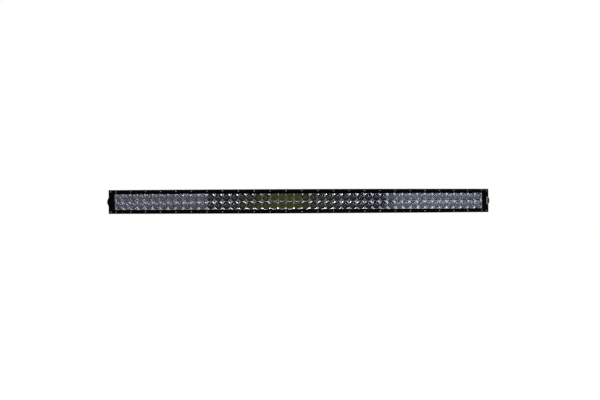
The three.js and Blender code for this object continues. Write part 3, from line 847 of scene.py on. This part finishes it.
def cell_border(halves):
    """Unit directions round a cell's axis, and how far each reaches to the cell's own rectangle."""
    left, right, down, up = halves
    directions = []
    border = []
    for k in range(CUP_SIDES):
        angle = 2 * math.pi * k / CUP_SIDES
        c, s = math.cos(angle), math.sin(angle)
        longest = max(abs(c), abs(s))
        directions.append((c, s))
        border.append((c / longest * (right if c > 0 else left), s / longest * (up if s > 0 else down)))
    return directions, border


def cell_points(cx, cz, wall, halves, power, flange):
    """The rings of one cell, from the back plate through the throat and the mouth to the land's edge."""
    directions, border = cell_border(halves)
    rings = [[(cx + x, MODULE_DEPTH, cz + z) for x, z in border]]
    lip = [(MOUTH_RADIUS + 0.1, 0.18), (MOUTH_RADIUS + 0.2, 0.07), (RIM_RADIUS, 0.0)]
    for radius, depth in wall + lip:
        blend = max(0.0, (radius - THROAT_RADIUS) / (RIM_RADIUS - THROAT_RADIUS))
        ring = []
        for c, s in directions:
            reach = radius * (1 + (squareness((c, s), power) - 1) * blend)
            ring.append((cx + reach * c, depth, cz + reach * s))
        rings.append(ring)
    rim = rings[-1]
    for t in spread(0, 1, LAND_STEPS)[1:]:
        ring = []
        for (rx, _, rz), (bx, bz), (c, s) in zip(rim, border, directions):
            x, z = rx + (cx + bx - rx) * t, rz + (cz + bz - rz) * t
            width = math.hypot(cx + bx - rx, cz + bz - rz)
            ring.append((x, land_slope(c, s, cz, flange) * width * (1 - (1 - t) ** 2), z))
        rings.append(ring)
    return rings


def land_slope(c, s, cz, flange):
    """Lands are hollow between the cups, flat on the end flange and crowned along the lower edge."""
    dish = LAND_DISH * min(1, max(0, 3 - 5 * c * flange))
    turn = min(1, max(-1, 2.5 + 5 * s)) if cz < 0 else 1
    return turn * dish


def add_cell(points, faces, slots, rings, outer_x, outer_z, matrix):
    """Adds one cell's skin, and the side walls where it meets the module's outside."""
    start = len(points)
    last = start + (len(rings) - 1) * CUP_SIDES
    points += [matrix @ (Vector(p) * MM) for ring in rings for p in ring]
    for r in range(len(rings) - 1):
        a, b = start + r * CUP_SIDES, start + (r + 1) * CUP_SIDES
        for k in range(CUP_SIDES):
            j = (k + 1) % CUP_SIDES
            faces.append((a + k, a + j, b + j, b + k))
            slots.append(1 if r >= len(rings) - 1 - LAND_STEPS else 0)
    for k in range(CUP_SIDES):
        j = (k + 1) % CUP_SIDES
        ends = (rings[0][k], rings[0][j])
        on_side = all(abs(x - outer_x) < 1e-6 for x, _, _ in ends)
        on_edge = all(abs(z - outer_z) < 1e-6 for _, _, z in ends)
        if on_side or on_edge:
            faces.append((start + k, start + j, last + j, last + k))
            slots.append(0)


def build_reflector(name, kind, wall, matrix, material, flange=0):
    """Two blocks of two by two cups side by side, with a flange at the end of the row if any."""
    points = []
    faces = []
    slots = []
    for column in range(4):
        block_side = 1 if column % 2 else -1
        cx = (column - 1.5) * 2 * CELL_X
        side = flange if flange and column == (3 if flange > 0 else 0) else 0
        reach = {-1: CELL_HALF_INNER, 1: CELL_HALF_INNER}
        reach[block_side] = CELL_HALF_OUTER
        if side:
            reach[side] += END_FLANGE
        for row in (-1, 1):
            down = CELL_HALF_EDGE if row < 0 else CELL_HALF_MIDDLE
            up = CELL_HALF_MIDDLE if row < 0 else CELL_HALF_EDGE
            halves = (reach[-1], reach[1], down, up)
            rings = cell_points(cx, row * CELL_HALF_MIDDLE, wall, halves, SQUARENESS[kind], side)
            outer_x = cx + block_side * reach[block_side]
            outer_z = row * (CELL_HALF_MIDDLE + CELL_HALF_EDGE)
            add_cell(points, faces, slots, rings, outer_x, outer_z, matrix)
    return mesh_object(name, points, faces, [material, LAND_CHROME], slots, smooth_angle=40.0)


def box_faces(points, low, high):
    """Adds a box's corners to points and gives its faces."""
    start = len(points)
    for x in (low[0], high[0]):
        for y in (low[1], high[1]):
            for z in (low[2], high[2]):
                points.append((x, y, z))
    corners = [(0, 1, 3, 2), (4, 6, 7, 5), (0, 4, 5, 1), (2, 3, 7, 6), (0, 2, 6, 4), (1, 5, 7, 3)]
    return [tuple(start + i for i in face) for face in corners]


def dome_faces(points, cx, cz):
    """Adds a dome's points on an emitter's package and gives its faces."""
    rings = []
    for j in range(DOME_RINGS):
        lift = math.pi / 2 * j / DOME_RINGS
        radius = DOME_RADIUS * math.cos(lift)
        height = -PACKAGE_HEIGHT - DOME_HEIGHT * math.sin(lift)
        ring = []
        for k in range(DOME_SIDES):
            angle = 2 * math.pi * k / DOME_SIDES
            ring.append(len(points))
            points.append((cx + radius * math.cos(angle), height, cz + radius * math.sin(angle)))
        rings.append(ring)
    tip = len(points)
    points.append((cx, -PACKAGE_HEIGHT - DOME_HEIGHT, cz))
    faces = [tuple(reversed(rings[0]))]
    for a, b in zip(rings, rings[1:]):
        faces += [(a[k - 1], a[k], b[k], b[k - 1]) for k in range(DOME_SIDES)]
    faces += [(rings[-1][k - 1], rings[-1][k], tip) for k in range(DOME_SIDES)]
    return faces


def build_board(name, matrix):
    """A white board with eight emitters: a square package with a domed phosphor."""
    points = []
    low = (-BOARD_HALF_LENGTH, 0, -BOARD_HALF_HEIGHT)
    high = (BOARD_HALF_LENGTH, BOARD_THICKNESS, BOARD_HALF_HEIGHT)
    faces = box_faces(points, low, high)
    slots = [0] * len(faces)
    for column in range(4):
        for row in (-1, 1):
            cx, cz = (column - 1.5) * 2 * CELL_X, row * CELL_HALF_MIDDLE
            low = (cx - PACKAGE_HALF_WIDTH, -PACKAGE_HEIGHT, cz - PACKAGE_HALF_WIDTH)
            high = (cx + PACKAGE_HALF_WIDTH, 0.0, cz + PACKAGE_HALF_WIDTH)
            body = box_faces(points, low, high)
            dome = dome_faces(points, cx, cz)
            faces += body + dome
            slots += [1] * len(body) + [2] * len(dome)
    placed = [matrix @ (Vector(p) * MM) for p in points]
    return mesh_object(name, placed, faces, [BOARD, PACKAGE, PHOSPHOR], slots)


def build_light_cells():
    """Twelve modules along the arc, each with a board: flood cups at the ends and spot cups between."""
    walls = {"spot": spot_wall(), "flood": flood_wall()}
    chromes = {"spot": SPOT_CHROME_PAINTED_SHADE, "flood": FLOOD_CHROME_PAINTED_SHADE}
    counts = {"spot": 0, "flood": 0}
    for i in range(MODULE_COUNT):
        is_flood = i < FLOOD_MODULES_PER_END or i >= MODULE_COUNT - FLOOD_MODULES_PER_END
        kind = "flood" if is_flood else "spot"
        counts[kind] += 1
        on_arc = arc_matrix((i - (MODULE_COUNT - 1) / 2) * MODULE_PITCH)
        matrix = on_arc @ Matrix.Translation((0, MODULE_FRONT * MM, 0))
        flange = (i == MODULE_COUNT - 1) - (i == 0)
        name = f"{kind}_cups_{counts[kind]}"
        cups = build_reflector(name, kind, walls[kind], matrix, chromes[kind], flange)
        hand_over(cups, "bar", f"{kind}_chrome", f"{kind}_reflector_{counts[kind]}")
        board = build_board(f"emitters_{i + 1}", on_arc @ Matrix.Translation((0, BOARD_FRONT * MM, 0)))
        hand_over(board, "bar", "board_white", f"led_board_{i + 1}")


# ---------------------------------------------------------------- housing

FIN_THICKNESS = 1.8
FIN_ROOT = 24.5
TROUGH = (28.8, 25.8)
END_OUTLINE = [(HOUSING_FRONT, HALF_HEIGHT), (38, HALF_HEIGHT), (58, 31.5), (66, 27.5), (BAR_DEPTH, 22)]


def outline_height(depth):
    """Half the height of the end outline at a depth, which the fins' tips follow."""
    for (d0, z0), (d1, z1) in zip(END_OUTLINE, END_OUTLINE[1:]):
        if d0 <= depth <= d1:
            return z0 + (z1 - z0) * (depth - d0) / (d1 - d0)
    return END_OUTLINE[-1][1]


def housing_outline():
    """Depth and height round the section: trough, gasket groove, screw channel, side fins and back fins."""
    half = [
        TROUGH, (HOUSING_FRONT, TROUGH[1]), (HOUSING_FRONT, 31.0), (21.3, 31.0), (21.3, 34.0),
        (HOUSING_FRONT, 34.0), (HOUSING_FRONT, HALF_HEIGHT), (23.3, HALF_HEIGHT), (23.3, 30.5),
        (25.5, 30.5), (25.5, HALF_HEIGHT), (31.5, HALF_HEIGHT), (31.5, 28.3),
    ]
    for start in (35.5, 40.5, 45.5):
        end = start + FIN_THICKNESS
        half += [(start, FIN_ROOT), (start, outline_height(start))]
        half += [(end, outline_height(end)), (end, FIN_ROOT)]
    half += [(49.8, FIN_ROOT), (49.8, 28.4), (60, 28.4), (60, 21.6), (BACK_WALL, 21.6)]
    for middle, tip in ((15.8, 69), (9.5, BAR_DEPTH), (3.2, BAR_DEPTH)):
        upper, lower = middle + FIN_THICKNESS / 2, middle - FIN_THICKNESS / 2
        half += [(BACK_WALL, upper), (tip, upper), (tip, lower), (BACK_WALL, lower)]
    return mirrored(half)


def build_housing():
    """The finned extrusion with its duct, and a flat pocket and a hole for the gland and for the vent."""
    stations = spread(-HOUSING_HALF_LENGTH, HOUSING_HALF_LENGTH, 96)
    housing = bent_extrusion("heat_sink", fillet(housing_outline(), 0.55, 2), stations, [ANODISED], 40.0)
    duct = fillet(mirrored([(32.0, 22.0), (48.5, 22.0)]), 1.0, 2)
    longer = spread(-HOUSING_HALF_LENGTH - 5, HOUSING_HALF_LENGTH + 5, 98)
    boolean(housing, bent_extrusion("duct", duct, longer, [ANODISED]), "DIFFERENCE")
    flat = BACK_WALL + 0.2
    for station, pocket, hole in ((GLAND_STATION, 12.8, 6.1), (VENT_STATION, 9.6, 4.3)):
        profile = [(0, 45), (hole, 45), (hole, flat), (pocket, flat), (pocket, 76), (0, 76)]
        cutter = turned("pocket", profile, [ANODISED], 64)
        boolean(housing, place(cutter, arc_matrix(station)), "DIFFERENCE")
    smooth_by_angle(housing, 40.0)
    hand_over(housing, "bar", "black_anodised", "housing")


# ---------------------------------------------------------------- ends


def boss_profile():
    """A round boss under the bracket, with a fillet at its foot."""
    profile = [(0, 1.0), (BOSS_RADIUS + 2.2, 1.0), (BOSS_RADIUS + 2.2, 0.02)]
    for k in range(1, 6):
        angle = math.pi / 2 * k / 6
        profile.append((BOSS_RADIUS + 2.0 * (1 - math.sin(angle)), -2.0 * (1 - math.cos(angle))))
    profile += [(BOSS_RADIUS, -BOSS_HEIGHT + 0.5), (BOSS_RADIUS - 0.5, -BOSS_HEIGHT), (0, -BOSS_HEIGHT)]
    return profile


def build_end_cap(side, word):
    """A cast cap, hollow inside, with the boss, the pivot's hole and the four screw holes."""
    outer, inner = side * HALF_LENGTH, side * (HALF_LENGTH - CAP_THICKNESS)
    facing = outward(side)
    cap = bent_extrusion(f"cap_{word}", fillet(mirrored(END_OUTLINE), 3.0, 5), [inner, outer], [POWDER])
    bevel(cap, 1.1, 4, 60)
    pocket = fillet(mirrored([(15, 19.5), (59, 19.5)]), 4, 5)
    hollow = bent_extrusion("hollow", pocket, [inner - side * 2, side * (HALF_LENGTH - 6)], [POWDER])
    boolean(cap, hollow, "DIFFERENCE")
    pivot = arc_matrix(outer, PIVOT_DEPTH, 0) @ facing
    boolean(cap, place(turned("boss", boss_profile(), [POWDER], 72), pivot), "UNION")
    bore = [(0, -BOSS_HEIGHT - 1), (4.2, -BOSS_HEIGHT - 1), (4.2, 5), (0, 5)]
    drills = [place(turned("bore", bore, [POWDER], 32), pivot)]
    for d, z in CAP_SCREWS:
        hole = turned("hole", [(0, -1), (2.15, -1), (2.15, 16), (0, 16)], [POWDER], 24)
        drills.append(place(hole, arc_matrix(outer, d, z) @ facing))
    boolean(cap, join(drills, "drills"), "DIFFERENCE")
    smooth_by_angle(cap, 32.0)
    hand_over(cap, "bar", "black_powder_coat", f"end_cap_{word}")


def arc_points(cx, cy, radius, start, end, steps):
    """Points of an arc, with its angles in degrees."""
    angles = [math.radians(a) for a in spread(start, end, steps)]
    return [(cx + radius * math.cos(a), cy + radius * math.sin(a)) for a in angles]


def build_bracket(side, word):
    """A strap bent into a foot, with x outward, y back from the pivot and z up before it is placed."""
    foot_end = ARM_OUTER - FOOT_LENGTH
    bend_x, bend_y = ARM_OUTER - BEND_RADIUS, ARM_REACH - BEND_RADIUS
    plan = [(ARM_INNER, -ARM_HALF_WIDTH - 1), (ARM_OUTER, -ARM_HALF_WIDTH - 1)]
    plan += arc_points(bend_x, bend_y, BEND_RADIUS, 0, 90, 10)
    plan += [(foot_end, ARM_REACH), (foot_end, ARM_REACH - ARM_THICKNESS)]
    plan += arc_points(bend_x, bend_y, BEND_RADIUS - ARM_THICKNESS, 90, 0, 10)
    rings = [[Vector((x, y, z)) * MM for x, y in plan] for z in (-ARM_HALF_WIDTH, ARM_HALF_WIDTH)]
    strap = loft("strap", rings, [BRACKET_PAINT])

    arm = arc_points(0, 0, ARM_HALF_WIDTH, 90, 270, 36)
    arm += [(ARM_REACH + 1, -ARM_HALF_WIDTH - 1), (ARM_REACH + 1, ARM_HALF_WIDTH + 1)]
    sides = [[Vector((x, y, z)) * MM for y, z in arm] for x in (foot_end - 10, ARM_OUTER + 10)]
    boolean(strap, loft("arm", sides, [BRACKET_PAINT]), "INTERSECT")

    low, high, beyond = -ARM_HALF_WIDTH, ARM_HALF_WIDTH, ARM_OUTER + 5
    foot = [(foot_end, low), (beyond, low), (beyond, high), (foot_end, high)]
    rounded = prism("corners", fillet(foot, 4.0, 6), -ARM_HALF_WIDTH - 5, ARM_REACH + 5, [BRACKET_PAINT])
    boolean(strap, rounded, "INTERSECT")

    slot = arc_points(-SLOT_HALF_TRAVEL, 0, HOLE_RADIUS, 90, 270, 16)
    slot += arc_points(SLOT_HALF_TRAVEL, 0, HOLE_RADIUS, -90, 90, 16)
    slot = [(x + ARM_INNER - SLOT_INSET, z) for x, z in slot]
    hole = prism("slot", slot, ARM_REACH - 12, ARM_REACH + 8, [BRACKET_PAINT])
    boolean(strap, hole, "DIFFERENCE")
    bore = turned("bore", [(0, -20), (HOLE_RADIUS, -20), (HOLE_RADIUS, 0), (0, 0)], [BRACKET_PAINT], 40)
    boolean(strap, place(bore, outward(1)), "DIFFERENCE")
    bevel(strap, 0.45, 3, 40)
    if side < 0:
        place(strap, Matrix.Scale(-1, 4, (1, 0, 0)))
        strap.data.flip_normals()
    place(strap, arc_matrix(side * HALF_LENGTH, PIVOT_DEPTH, 0))
    strap.name = f"bracket_strap_{word}"
    hand_over(strap, f"bracket_{word}", "bracket_paint", f"mounting_bracket_{word}")


# ---------------------------------------------------------------- fittings on the back


def hex_piece(name, sections):
    """A hexagonal nylon piece with rounded corners, from corner radii and local y distances."""
    rings = []
    for radius, y in sections:
        outline = fillet(circle(radius, 6), radius * 0.12, 3)
        rings.append([Vector((x * MM, y * MM, z * MM)) for x, z in outline])
    return loft(name, rings, [NYLON])


def bored(piece, radius, low, high):
    """Cuts a round hole along the local y axis."""
    bore = turned("bore", [(0, low), (radius, low), (radius, high), (0, high)], [NYLON], 48)
    boolean(piece, bore, "DIFFERENCE")
    smooth_by_angle(piece, 32.0)


def build_gland():
    """The cable gland: a flanged body through the wall, a domed nut and the seal in its mouth."""
    seat = FITTING_SEAT
    on_arc = arc_matrix(GLAND_STATION)
    hexagon = [(10.4, 0), (11, 0.5), (11, 4.6), (10.4, 5.1)]
    flange = hex_piece("gland_flange", [(radius, seat + y) for radius, y in hexagon])
    top = seat + 6.6
    thread = [(0, 46), (5.7, 46), (5.9, 46.4), (5.9, seat + 1), (7.2, seat + 1), (7.2, top), (0, top)]
    boolean(flange, turned("neck", thread, [NYLON], 48), "UNION")
    bored(flange, 4.3, 40, seat + 8)
    hand_over(place(flange, on_arc), "bar", "black_nylon", "cable_gland_body")

    start = seat + 6.8
    dome = [(9.9, 0), (10.4, 0.5), (10.4, 6.5), (9.9, 7.6), (9.0, 9.4), (8.2, 11), (7.7, 11.8), (7.2, 12)]
    nut = hex_piece("gland_dome", [(radius, start + y) for radius, y in dome])
    bored(nut, 5.2, start - 2, start + 20)
    hand_over(place(nut, on_arc), "bar", "black_nylon", "cable_gland_nut")

    ring = [(3.25, 1), (5.0, 1), (5.0, 12.2), (4.6, 12.7), (3.7, 12.7), (3.25, 12.2), (3.25, 1)]
    seal = turned("gland_insert", [(radius, start + y) for radius, y in ring], [RUBBER], 48)
    hand_over(place(seal, on_arc), "bar", "gasket_rubber", "cable_gland_seal")


def build_vent():
    """A round breather with six side slots and a dished cover."""
    seat = FITTING_SEAT
    cover = [(8.0, 0), (8.2, 0.3), (8.2, 3.6), (7.6, 4.6), (6.9, 6.2), (6.5, 6.5)]
    cover += [(4.6, 6.5), (4.4, 6.3), (4.4, 5.4), (0, 5.4)]
    profile = [(0, 46.5), (4.0, 46.5), (4.0, seat)] + [(radius, seat + y) for radius, y in cover]
    vent = turned("pressure_vent", profile, [NYLON], 60)
    slots = []
    for k in range(6):
        cut = prism("cut", [(5.6, -0.5), (10, -0.5), (10, 0.5), (5.6, 0.5)], seat + 4.2, seat + 8, [NYLON])
        slots.append(place(cut, spin(60 * k)))
    boolean(vent, join(slots, "cuts"), "DIFFERENCE")
    smooth_by_angle(vent, 32.0)
    hand_over(place(vent, arc_matrix(VENT_STATION)), "bar", "black_nylon", "breather_vent")


def dress_cad_nodes():
    """The inner and hidden CAD nodes keep their shape and get real materials."""
    finishes = {RUBBER: ["end_cap_gasket_left", "end_cap_gasket_right"],
                DRIVER: ["led_driver_left", "led_driver_right"]}
    for material, names in finishes.items():
        for name in names:
            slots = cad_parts[name].material_slots
            for slot in slots:
                slot.material = material


# ---------------------------------------------------------------- studio

FLOOR_HEIGHT = -0.034
FLOOR_SIZE = 12.0


def add_area(name, at, aim, width, height, power, colour):
    """A soft rectangular light that the camera doesn't see."""
    data = bpy.data.lights.new(name, "AREA")
    data.shape = "RECTANGLE"
    data.size = width
    data.size_y = height
    data.energy = power
    data.color = colour
    light = bpy.data.objects.new(name, data)
    bpy.context.scene.collection.objects.link(light)
    light.location = at
    light.rotation_euler = (Vector(aim) - Vector(at)).to_track_quat("-Z", "Y").to_euler()
    light.visible_camera = False


def seen_white(tree, other, kind, output):
    """Shows plain white to the camera and another shader to everything else."""
    path = tree.nodes.new("ShaderNodeLightPath")
    mix = tree.nodes.new("ShaderNodeMixShader")
    white = tree.nodes.new(kind)
    white.inputs["Color"].default_value = (1, 1, 1, 1)
    white.inputs["Strength"].default_value = 1.0
    tree.links.new(path.outputs["Is Camera Ray"], mix.inputs["Fac"])
    tree.links.new(other, mix.inputs[1])
    tree.links.new(white.outputs[0], mix.inputs[2])
    tree.links.new(mix.outputs["Shader"], tree.nodes[output].inputs["Surface"])


def add_floor():
    """A plain floor just under the feet of the brackets when they are turned down."""
    bpy.ops.mesh.primitive_plane_add(size=FLOOR_SIZE, location=(0, 0, FLOOR_HEIGHT))
    floor = bpy.context.object
    floor.name = "floor"
    material = bpy.data.materials.new("pale_floor")
    material.use_nodes = True
    tree = material.node_tree
    shader = tree.nodes["Principled BSDF"]
    shader.inputs["Base Color"].default_value = (0.12, 0.12, 0.13, 1)
    shader.inputs["Roughness"].default_value = 0.8
    seen_white(tree, shader.outputs["BSDF"], "ShaderNodeEmission", "Material Output")
    floor.data.materials.append(material)


def add_world():
    """A very dim room around the bar, seen as plain white."""
    world = bpy.data.worlds.new("studio")
    bpy.context.scene.world = world
    world.use_nodes = True
    tree = world.node_tree
    dim = tree.nodes["Background"]
    dim.inputs["Color"].default_value = (0.85, 0.9, 1.0, 1)
    dim.inputs["Strength"].default_value = 0.012
    seen_white(tree, dim.outputs["Background"], "ShaderNodeBackground", "World Output")


def build_studio():
    """Soft light from above, from the front at both sides and from behind."""
    add_floor()
    add_world()
    add_area("top_softbox", (0.1, -1.6, 2.3), (0, 0, 0.0), 3.0, 0.8, 18, (1.0, 1.0, 1.0))
    add_area("upper_panel", (-0.1, -2.9, 0.95), (-0.02, 0, 0.04), 0.9, 0.32, 4.6, (1.0, 1.0, 1.0))
    add_area("left_panel", (-1.9, -2.6, 0.6), (-0.3, 0, 0.05), 1.5, 1.0, 3.0, (0.93, 0.96, 1.0))
    add_area("right_panel", (2.0, -2.45, 0.6), (0.3, 0, 0.05), 1.5, 1.0, 5.4, (0.86, 0.92, 1.0))
    add_area("back_softbox", (0.0, 2.2, 1.6), (0, 0, 0.05), 2.6, 1.2, 150, (1.0, 1.0, 1.0))
    bpy.context.scene.view_settings.view_transform = "Standard"


# ---------------------------------------------------------------- build

build_bezel()
build_bezel_screws()
build_lens()
build_lens_gasket()
build_badge()
build_light_cells()
build_housing()
for side, word in SIDES:
    build_end_cap(side, word)
    build_cap_screws(side, word)
    build_pivot(side, word)
    build_bracket(side, word)
build_gland()
build_vent()
dress_cad_nodes()
build_studio()
